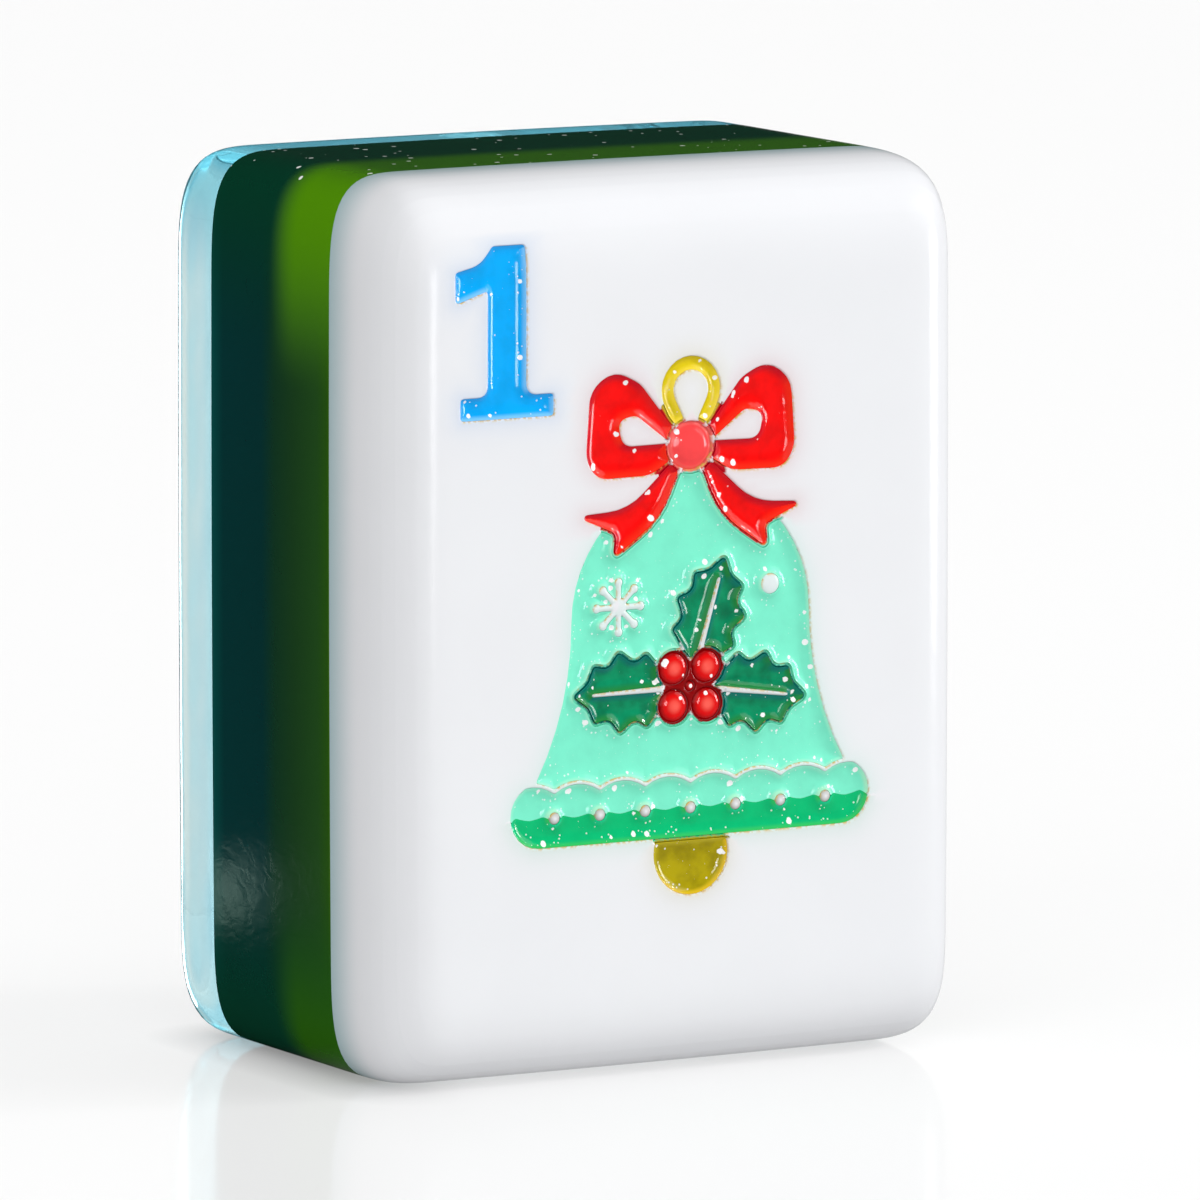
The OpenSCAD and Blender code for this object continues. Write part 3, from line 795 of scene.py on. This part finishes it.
def measure(spots, points, after):
    """For each spot: its distance to the nearest stretch of an outline (at most the farthest), that
    stretch's number, and whether an odd number of stretches lies to its right, which means that it
    is enclosed. Each square millimetre of spots meets only the stretches around it."""
    run, end = points[after] - points, points[after]
    square = np.maximum((run**2).sum(1), 1e-12)
    slope = run[:, 0] / np.where(np.abs(run[:, 1]) < 1e-12, 1e-12, run[:, 1])
    low_end, high_end = np.minimum(points[:, 1], end[:, 1]), np.maximum(points[:, 1], end[:, 1])
    gap, nearest = np.full(len(spots), float(farthest)), np.zeros(len(spots), int)
    odd = np.zeros(len(spots), bool)
    squares = np.unique(np.floor(spots), axis=0, return_inverse=True)[1].reshape(-1)
    order = np.argsort(squares, kind="stable")
    for members in np.split(order, np.flatnonzero(np.diff(squares[order])) + 1):
        part = spots[members]
        lowest, highest = part.min(0), part.max(0)
        around = (points > lowest - farthest) & (points < highest + farthest)
        near = np.flatnonzero(around.all(1))
        if len(near):
            offset = part[:, None] - points[near]
            share = np.clip((offset * run[near]).sum(2) / square[near], 0, 1)
            reach = np.hypot(*(offset - share[..., None] * run[near]).transpose(2, 0, 1))
            best = reach.argmin(1)
            reach = reach[np.arange(len(part)), best]
            nearest[members] = near[best]
            gap[members] = np.minimum(reach, farthest)
        beside = np.flatnonzero((low_end <= highest[1]) & (high_end >= lowest[1]))
        level = (points[beside, 1] > part[:, 1:]) != (end[beside, 1] > part[:, 1:])
        cross = points[beside, 0] + (part[:, 1:] - points[beside, 1]) * slope[beside]
        odd[members] = (level & (part[:, :1] < cross)).sum(1) % 2 == 1
    return gap, nearest, odd


print("distances are measured up to", farthest, "mm")

# %% Nets of triangles
thin_spacing = 0.008


def thinned(spots):
    """The spots with at most one kept in each small square."""
    return spots[np.unique(np.round(spots / thin_spacing), axis=0, return_index=True)[1]]


def triangulate(points, edges):
    """Triangles over these points that keep these edges."""
    made = delaunay_2d_cdt(points.tolist(), edges.tolist(), [], 1, 1e-7, False)
    if len(made[0]) != len(points):
        raise ValueError(f"{len(made[0])} points came back for {len(points)}")
    return np.array(made[2])


def hex_grid(lowest, highest, spacing):
    """Rows of points in which every second row is shifted by half a step."""
    across = np.arange(lowest[0], highest[0], spacing)
    upward = np.arange(lowest[1], highest[1], spacing * math.sqrt(0.75))
    x, z = np.meshgrid(across, upward)
    x = x + (np.arange(len(upward)) % 2)[:, None] * spacing / 2
    return np.stack([x.ravel(), z.ravel()], 1)


def plate_sink(spots):
    """How far the skin lies behind the face plane: the front rounding times 1 minus the fourth root
    of 1 minus the fourth powers of how far a spot lies into the side and end roundings."""
    side = np.maximum(np.abs(spots[:, 0]) - (half_w - round_x), 0) / round_x
    end = np.maximum(np.abs(spots[:, 1] - mid_z) - (half_h - round_z), 0) / round_z
    return round_front * (1 - np.clip(1 - side**4 - end**4, 0, 1) ** 0.25)


def on_face(spots, depth):
    """Points in space at a depth below the tile's curved face."""
    return np.stack([spots[:, 0], plate_sink(spots) + depth - half_d, spots[:, 1]], 1)


print("net points are at least", thin_spacing, "mm apart")

# %% [markdown]
# ## Enamel colours
# The colours are needed twice: for the enamel, and for the faint stain that each one leaves in the
# white plastic around it. Each entry names the CAD node, its record slot, the body colour, and the
# colours that the enamel shows where it climbs an upper or left wall and a lower or right wall,
# which are partly painted light and shade.

# %% Table of enamels
red = ("red_enamel", srgb(252, 4, 4), srgb(206, 4, 30), srgb(246, 40, 16))
holly = ("holly_enamel", srgb(2, 146, 98), srgb(2, 120, 108), srgb(30, 130, 60))
mint = ("mint_enamel", srgb(126, 238, 205), srgb(132, 240, 208), srgb(156, 238, 206))
light_mint = ("light_mint_enamel", srgb(124, 236, 202), srgb(150, 240, 210), srgb(170, 236, 200))
enamels = {
    "numeral_fill": ("blue_enamel", srgb(2, 172, 250), srgb(40, 160, 236), srgb(120, 196, 250)),
    "hanger_ring_fill": ("gold_enamel", srgb(230, 206, 20), srgb(206, 184, 16), srgb(240, 214, 60)),
    "bow_left_loop_fill": red,
    "bow_right_loop_fill": red,
    "bow_left_tail_fill": red,
    "bow_right_tail_fill": red,
    "bow_knot_fill": ("coral_enamel", srgb(250, 72, 74), srgb(250, 110, 106), srgb(250, 100, 92)),
    "bell_body_fill": mint,
    "bell_trim_fill": light_mint,
    "bell_rim_fill": ("emerald_enamel", srgb(2, 188, 116), srgb(20, 204, 142), srgb(50, 192, 98)),
    "clapper_fill": ("olive_enamel", srgb(176, 160, 6), srgb(190, 174, 30), srgb(220, 184, 30)),
    "holly_top_leaf_fill": holly,
    "holly_left_leaf_fill": holly,
    "holly_right_leaf_fill": holly,
    # The berries' dark wall colours are painted shade around the rim of each drop.
    "berry_fills": ("berry_enamel", srgb(228, 6, 8), srgb(150, 0, 4), srgb(168, 0, 6)),
}
outlines = {}
for node in enamels:
    points, after = trace(node)
    outlines[node] = (smoothed(points, after), after)
total = sum(len(points) for points, _ in outlines.values())
print("enamels:", len(outlines), "outline points:", total)

# %% [markdown]
# ## White face
# The face is one closed shell. Its outside is a loft of sections like the other layers. Its front
# is a height over a net of triangles: the net keeps the pocket outlines as edges and has rings of
# points close to them, so the engraving's lips can be rounded. Small islands that were left
# standing, such as the beads, take their rounding from their own size and become domes.

# %% Points of the face
front_turn = math.radians(58)
join_depth = -(half_d - round_front + round_front * quartic_arc(front_turn)[1])
white_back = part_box("white_face")[1].y / MM
white_rings = sections(depth_rows(white_back, join_depth))
border = white_rings[-1][:, [0, 2]]
border_after = np.roll(np.arange(len(border)), -1)

face_rings = [0.012, 0.03, 0.06, 0.11, 0.19]
net_spacing, border_gap, ring_slack, wide_gap = 0.32, 0.2, 0.8, 0.22
nearby = np.concatenate([pocket - offset * pocket_in for offset in face_rings])
wanted = np.repeat(face_rings, len(pocket))
wide = hex_grid(border.min(0), border.max(0), net_spacing)
to_border, _, within = measure(wide, border, border_after)
wide = wide[within & (to_border > border_gap)]
spots = np.concatenate([nearby, wide])
gap, _, enclosed = measure(spots, pocket, pocket_after)
least = np.concatenate([ring_slack * wanted, np.full(len(wide), wide_gap)])
spots = thinned(spots[(gap > least) & ~enclosed])
spots = np.concatenate([border, pocket, spots])
print("points of the face:", len(spots))

# %% Net over the face
first_pocket = len(border)
numbers = np.arange(len(pocket)) + first_pocket
border_edges = np.stack([np.arange(first_pocket), border_after], 1)
pocket_edges = np.stack([numbers, pocket_after + first_pocket], 1)
net = triangulate(spots, np.concatenate([border_edges, pocket_edges]))
on_outline = np.zeros(len(spots), bool)
on_outline[numbers] = True
tight = on_outline[net].all(1)
floor_part = np.zeros(len(net), bool)
floor_part[tight] = measure(spots[net[tight]].mean(1), pocket, pocket_after)[2]
print("net:", len(net), "triangles,", floor_part.sum(), "of them on pocket floors")

# %% Ridges between two colours
look_in, look_across = 0.06, 0.24
fill_of, across_of = np.zeros(len(pocket), int), np.zeros(len(pocket), int)
own_side, other_side = pocket + look_in * pocket_in, pocket - look_across * pocket_in
for number, (outline, after) in enumerate(outlines.values(), 1):
    fill_of[measure(own_side, outline, after)[2]] = number
    across_of[measure(other_side, outline, after)[2]] = number
fill_colours = np.array([(1, 1, 1, 1)] + [entry[2] for entry in enamels.values()])
stain_of = fill_colours[fill_of]
kept_white = np.array([False] + [node in ("bell_body_fill", "bell_trim_fill") for node in enamels])
on_berry = fill_of == 1 + list(enamels).index("berry_fills")
both_white = kept_white[across_of] & kept_white[fill_of]
ridge = (across_of > 0) & (across_of != fill_of) & ~both_white
ridge |= on_berry
print("outline points on ridges:", ridge.sum())

# %% Lips
lip_round, island_lip, island_reach, ridge_sink = 0.05, 0.07, 0.34, 0.07
island = island_area > 0
dome_reach = np.minimum(island_reach, 2 * island_area / island_length)
lip_reach = np.where(island, dome_reach, lip_round)
lip_drop = np.where(island, island_lip, lip_round)


def lip(gap, nearest):
    """Drop of the face near a pocket: the lip's height times 1 minus the height of a circle over its
    reach."""
    share = np.clip(1 - gap / lip_reach[nearest], 0, 1)
    return lip_drop[nearest] * (1 - np.sqrt(1 - share**2))


gap, nearest, _ = measure(spots, pocket, pocket_after)
gap[on_outline] = 0
nearest[on_outline] = np.arange(len(pocket))
top = on_face(spots, lip(gap, nearest) + ridge_sink * ridge[nearest])
print("outline points around islands:", island.sum())

# %% Walls and floors
wall_inset, wall_shoulder = 0.03, 0.06
pocket_depth = (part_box("numeral_fill")[1].y / MM) + half_d
inset = pocket + wall_inset * pocket_in
shoulder = on_face(inset, lip_drop + ridge_sink * ridge + wall_shoulder)
bottom = on_face(inset, np.full(len(inset), pocket_depth))


def wall(upper, lower, after):
    """Triangles of a strip between two rows of points that follow the same outline."""
    count = np.arange(len(after))
    return np.concatenate([
        np.stack([upper + after, upper + count, lower + count], 1),
        np.stack([upper + after, lower + count, lower + after], 1),
    ])


side_points, side_triangles = loft(white_rings, close_front=False)
row_one = len(top)
row_two = row_one + len(pocket)
engraved = np.concatenate([
    net[~floor_part],
    wall(first_pocket, row_one, pocket_after),
    wall(row_one, row_two, pocket_after),
    net[floor_part] - first_pocket + row_two,
])
points = np.concatenate([top, shoulder, bottom, side_points])
triangles = np.concatenate([engraved, side_triangles + len(top) + 2 * len(pocket)])
print("white face:", len(points), "points before joining")

# %% [markdown]
# ## Stains, painted shade and painted highlights
# Enamel bleeds a little into the white plastic and colours the thin ridges between two fills.
# The beads get painted shade: grey at the rim, rising to white in the middle. The lips and walls
# that face up and to the left get a dotted gold painted highlight. Painting a picture for this
# would need a flat layout of the face, so the amounts are stored in the points.

# %% Stains, painted shade and painted highlights around the pockets
stain_reach, stain_most, ridge_stain, wall_most, highlight_reach = 0.35, 0.2, 1.0, 0.75, 0.05
low_right, bead_area, bead_rim_shade = np.array([0.6, -0.8]), 0.16, np.array([0.5, 0.49, 0.44, 1.0])
faded = stain_most * np.exp(-gap / stain_reach)
stain = 1 - np.where(ridge[nearest], ridge_stain, faded)[:, None] * (1 - stain_of[nearest])
# Beads get painted shade: grey at the rim, rising to white in the middle.
bead = (island & (island_area < bead_area))[nearest]
stain[bead] = bead_rim_shade + (1 - bead_rim_shade) * np.clip(gap / lip_reach[nearest], 0, 1)[bead, None]
# Painted highlight: lips and walls that face up and to the left get gold, except around the berries.
wall_highlight = np.clip(-pocket_in @ low_right, 0, 1) * ~on_berry
rim_highlight = np.exp(-((gap / highlight_reach) ** 2)) * wall_highlight[nearest]
wall_stain = 1 - wall_most * (1 - stain_of)
stain = np.concatenate([stain, wall_stain, wall_stain, np.ones((len(side_points), 4))])
rim_highlight = np.concatenate([rim_highlight, wall_highlight, 0 * wall_highlight, np.zeros(len(side_points))])


def joined(points, triangles, facts):
    """The same shell with points that share a place made one."""
    rounded = np.round(points, same_digits)
    _, keep, same = np.unique(rounded, axis=0, return_index=True, return_inverse=True)
    triangles = same.reshape(-1)[triangles]
    real = (triangles != np.roll(triangles, 1, 1)).all(1)
    return points[keep], triangles[real], {name: values[keep] for name, values in facts.items()}


points, triangles, facts = joined(points, triangles, {"stain": stain, "rim_highlight": rim_highlight})
print("white face:", len(points), "points joined")

# %% White plastic
material, tree, shader, position = new_material("white_plastic")
white_tints = srgb(235, 236, 239), srgb(231, 232, 235)
green_shade_tint, highlight_tint = srgb(172, 196, 200), srgb(214, 178, 92)
green_shade_range, dot_range = (white_back - 1.9, white_back + 0.3), (0.42, 0.58)
white = blend_colours(tree, noise(tree, position, scale=0.25, detail=2.0), *white_tints)
# Near the back of the white layer its colour turns grey-teal: painted shade, with the green layer
# showing through the white.
green_shade_share = ease(tree, split(tree, position)[1], *green_shade_range)
white = blend_colours(tree, green_shade_share, white, green_shade_tint)
white = blend_colours(tree, 1.0, white, read_attribute(tree, "stain", "Color"), "MULTIPLY")
# Noise breaks the painted gold highlight into dots.
dotted = ease(tree, noise(tree, position, scale=7.0, detail=2.0), *dot_range)
highlighted = math_node(tree, "MULTIPLY", read_attribute(tree, "rim_highlight"), dotted)
connect(tree, shader, {
    "Base Color": blend_colours(tree, highlighted, white, highlight_tint),
    "Roughness": 0.18,
    "Specular IOR Level": 0.1,
    "Normal": rippled(tree, position),
})
make_piece("white_layer", points, triangles, material, ["white_face"], facts)

# %% [markdown]
# ## Enamel
# Poured enamel climbs the wall of its pocket and sinks in the middle, so each fill is a height that
# depends on the distance from the wall. The berries and the knot stand up instead, as drops do. The
# two greens of the bell's rim share a pocket, and where they flowed together their border is a wave.
# Painted glints, round white highlights, sit along the walls. Three attributes go into the mesh:
# the distance from the wall, which way that wall faces, and how much a painted glint covers.

# %% Depth of the enamel
edge_sink, middle_sink, climb = 0.05, 0.2, 0.17
drop_edge, drop_top, groove_from_wall, groove_half = 0.16, 0.015, 0.17, 0.05
drops = {"berry_fills": (0.46, 0.0), "bow_knot_fill": (0.78, 0.02)}


def fill_sink(node, gap):
    """Depth of the enamel: it falls from the wall by an exponential curve, or rises from it as a
    drop does, with a bell-shaped groove around the drop."""
    if node in drops:
        reach, groove = drops[node]
        share = np.clip(1 - gap / reach, 0, 1)
        rise = (drop_edge - drop_top) * np.sqrt(1 - share**2)
        return drop_edge - rise + groove * np.exp(-(((gap - groove_from_wall) / groove_half) ** 2))
    return middle_sink - (middle_sink - edge_sink) * np.exp(-gap / climb)


print("enamel lies", edge_sink, "to", middle_sink, "mm deep")

# %% Painted glints
glint_spacing, glint_place, glint_size = 2.8, (0.1, 0.22), (0.03, 0.07)


def painted_glints(node, spots):
    """Share of painted highlight at each spot: 1 within a glint, down to 0 at twice its size.
    Glints keep close to the walls, at places picked by a seeded generator."""
    number = 1 + list(enamels).index(node)
    own = np.flatnonzero(fill_of == number)
    chance = np.random.default_rng(number)
    count = max(1, round(len(own) * outline_spacing / glint_spacing))
    picked = chance.choice(own, count, replace=False)
    middle = pocket[picked] + chance.uniform(*glint_place, count)[:, None] * pocket_in[picked]
    away = np.hypot(*(spots[:, None] - middle).transpose(2, 0, 1))
    away = away / chance.uniform(*glint_size, count)
    return np.clip(2 - away, 0, 1).max(1)


print("one bubble to", glint_spacing, "mm of wall")

# %% Shape of an enamel fill
fill_rings = [0.035, 0.06, 0.1, 0.15, 0.21, 0.29, 0.39]
fill_spacing, fill_overlap, fill_bottom, fill_margin = 0.17, 0.012, 0.58, 0.5
fill_slack, fill_wide_gap, fill_edge_gap, wall_snap = 0.85, 0.45, 0.02, 0.03
wave_height, wave_fade, wave_start, bead_spacing, bead_middle = 0.13, 0.2, 0.3, 1.7, 0.24


def fill_outline(node):
    """Outline of a fill, grown a little; between walls the rim's border is lifted by a cosine."""
    outline, after = outlines[node]
    outline = outline + fill_overlap * right_normals(outline, after)
    if node in ("bell_trim_fill", "bell_rim_fill"):
        to_wall, _, _ = measure(outline, pocket, pocket_after)
        free = np.clip(to_wall / wave_fade - wave_start, 0, 1)
        turn = 2 * math.pi * (outline[:, 0] - bead_middle) / bead_spacing
        outline[:, 1] += free * wave_height * np.cos(turn)
    return outline, after


def fill_spots(outline, after):
    """Outline, then rings of points along the walls, then an even grid in the middle."""
    lowest, highest = outline.min(0) - fill_margin, outline.max(0) + fill_margin
    ring = np.concatenate([pocket + offset * pocket_in for offset in fill_rings])
    wanted = np.repeat(fill_rings, len(pocket))
    local = ((ring > lowest) & (ring < highest)).all(1)
    wide = hex_grid(lowest, highest, fill_spacing)
    spots = np.concatenate([ring[local], wide])
    least = np.concatenate([fill_slack * wanted[local], np.full(len(wide), fill_wide_gap)])
    to_outline, _, within = measure(spots, outline, after)
    spots, least, to_outline = spots[within], least[within], to_outline[within]
    to_wall, _, _ = measure(spots, pocket, pocket_after)
    kept = thinned(spots[(to_wall > least) & (to_outline > fill_edge_gap)])
    return np.concatenate([outline, kept])


def fill_shape(node):
    """Points, triangles and attributes of one closed fill."""
    outline, after = fill_outline(node)
    spots = fill_spots(outline, after)
    rim, count = np.arange(len(outline)), len(spots)
    net = triangulate(spots, np.stack([rim, after], 1))
    net = net[measure(spots[net].mean(1), outline, after)[2]]
    gap, nearest, _ = measure(spots, pocket, pocket_after)
    gap = np.maximum(gap - wall_inset, 0)
    gap[rim] = np.where(gap[rim] < wall_snap, 0, gap[rim])
    upper = on_face(spots, fill_sink(node, gap))
    lower = on_face(spots, np.full(count, fill_bottom))
    triangles = np.concatenate([net, net[:, ::-1] + count, wall(0, count, after)])
    # Each point also holds how much a painted glint, a round white highlight, covers it.
    facts = {"wall": gap, "facing": pocket_in[nearest] @ low_right, "glint": painted_glints(node, spots)}
    facts = {name: np.tile(values, 2) for name, values in facts.items()}
    return np.concatenate([upper, lower]), triangles, facts


print("fills reach", fill_bottom, "mm deep")

# %% [markdown]
# ## Enamel finishes
# All enamels share one recipe with different colours: a body colour with a little mottling, other
# colours where the enamel climbs its walls, partly painted light and shade that follow which way a
# wall faces, fine glitter, and painted glints as white dots. Berries get a painted glow in the
# middle, where light would come back out of the drop.

# %% Tint, painted light and painted shade along the walls
wall_light_and_tint, given, result = new_group(
    "wall_light_and_tint",
    {
        "Colour": "Color", "Upper": "Color", "Lower": "Color",
        "Wall": "Float", "Facing": "Float", "Reach": "Float",
    },
    {"Colour": "Color"},
)
facing_range = (0.35, -0.35)
# Painted light and shade: upper and left walls take one colour, lower and right walls the other.
which = ease(wall_light_and_tint, given["Facing"], *facing_range)
edge_colour = blend_colours(wall_light_and_tint, which, given["Upper"], given["Lower"])
share = math_node(wall_light_and_tint, "DIVIDE", given["Wall"], given["Reach"])
share = ease(wall_light_and_tint, share, 1.0, 0.0)
tinted = blend_colours(wall_light_and_tint, share, given["Colour"], edge_colour)
connect(wall_light_and_tint, result, {"Colour": tinted})
print("wall tint:", len(wall_light_and_tint.nodes), "nodes")

# %% Enamel recipe
mottle_range, glow_range, glint_range = (0.35, 0.75), (0.2, 0.48), (0.35, 0.65)
glitter_spacing, glitter_size, glitter_body, glitter_white = 0.14, 0.26, 0.35, 0.6
glint_white = srgb(250, 250, 250)


def enamel(slot, body, upper, lower, reach=0.16, glitter=0.3, shade=0.88, glow=None):
    """Glossy poured enamel: edges tinted with painted light and shade, mottling, glitter, painted
    glints and perhaps a painted glow in the middle."""
    material, tree, shader, position = new_material(slot)
    wall_gap = read_attribute(tree, "wall")
    mottle = ease(tree, noise(tree, position, scale=1.4, detail=4.0), *mottle_range)
    deep = tuple(shade * part for part in body[:3]) + (1.0,)
    colour = place_group(tree, wall_light_and_tint, {
        "Colour": blend_colours(tree, mottle, body, deep),
        "Upper": upper,
        "Lower": lower,
        "Wall": wall_gap,
        "Facing": read_attribute(tree, "facing"),
        "Reach": reach,
    })
    scatter = {"Spacing": glitter_spacing, "Size": glitter_size, "Share": glitter}
    dust = place_group(tree, flecks, {"Position": position, **scatter})
    pale = tuple(glitter_body * part + glitter_white for part in body[:3]) + (1.0,)
    colour = blend_colours(tree, dust, colour, pale)
    # Painted glow: the middle of a drop is lighter, as if light came back out of it.
    if glow:
        colour = blend_colours(tree, ease(tree, wall_gap, *glow_range), colour, glow)
    # Painted glints: round white highlights near the walls.
    glint = ease(tree, read_attribute(tree, "glint"), *glint_range)
    connect(tree, shader, {
        "Base Color": blend_colours(tree, glint, colour, glint_white),
        "Roughness": 0.07,
        "Specular IOR Level": 0.15,
        "Normal": rippled(tree, position, coarse=0.02, fine=0.006),
    })
    return material


print("enamel recipe ready")

# %% Pour the enamel
special = {
    "berry_enamel": {"reach": 0.2, "glitter": 0.02, "glow": srgb(250, 96, 84)},
    "coral_enamel": {"glitter": 0.1},
    "red_enamel": {"reach": 0.3, "glitter": 0.06, "shade": 0.8},
    "mint_enamel": {"reach": 0.1, "glitter": 0.9, "shade": 0.94},
    "light_mint_enamel": {"glitter": 0.9, "shade": 0.94},
    "emerald_enamel": {"glitter": 0.6},
    "holly_enamel": {"reach": 0.24, "glitter": 0.16, "shade": 0.55},
    "olive_enamel": {"glitter": 0.5, "shade": 0.6},
}
finishes = {}
for node, (slot, body, upper, lower) in enamels.items():
    if slot not in finishes:
        finishes[slot] = enamel(slot, body, upper, lower, **special.get(slot, {}))
    points, triangles, facts = fill_shape(node)
    name = node.replace("_fill", "_enamel")
    make_piece(name, points, triangles, finishes[slot], [node], facts)
